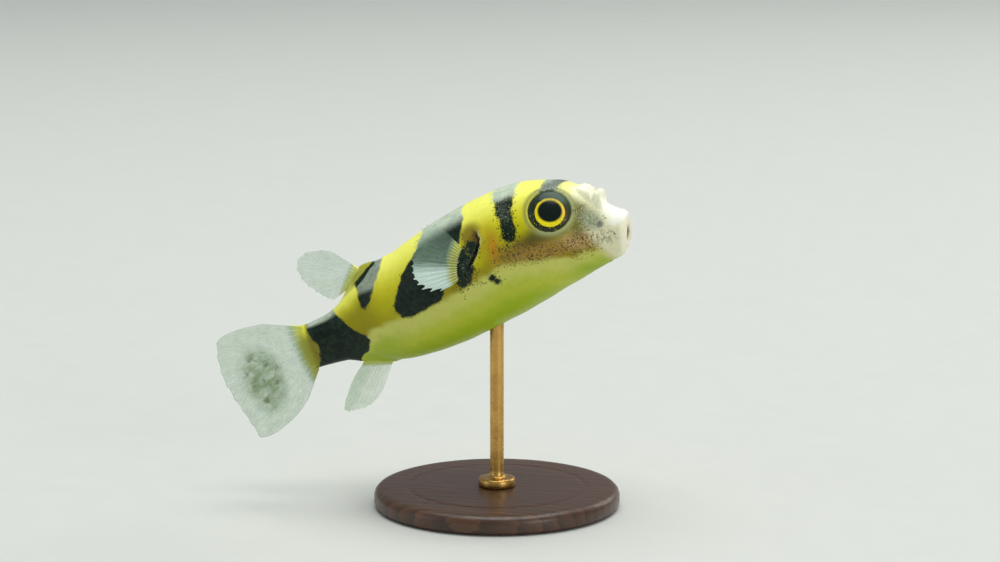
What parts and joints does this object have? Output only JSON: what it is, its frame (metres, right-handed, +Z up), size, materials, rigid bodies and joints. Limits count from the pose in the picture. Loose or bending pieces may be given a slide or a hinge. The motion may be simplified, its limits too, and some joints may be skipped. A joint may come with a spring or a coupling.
{
  "type": "freshwater pufferfish model on a display stand",
  "caption": "Small black-banded yellow freshwater pufferfish in a swimming pose, tail turned to one side, held over a round stand by one rod.",
  "frame": {"origin": "centre of the flat underside of the round stand base", "axes": "+X towards the fish's snout, +Y towards its left side, +Z up"},
  "size_m": [0.0549, 0.032, 0.043],
  "materials": {
    "skin": "moist satin",
    "fin": "moist, clear between the rays",
    "eye": "wet gloss",
    "beak": "satin",
    "stand_wood": "satin lacquer",
    "stand_brass": "satin"
  },
  "bodies": {
    "root": {"head": "skin", "trunk": "skin", "tail": "skin", "caudal_fin": "fin", "dorsal_fin": "fin", "anal_fin": "fin", "pectoral_fin_right": "fin", "pectoral_fin_left": "fin", "eye_right": "eye", "eye_left": "eye", "beak_upper": "beak", "beak_lower": "beak", "stand_base": "stand_wood", "stand_rod": "stand_brass"}
  },
  "joints": []
}
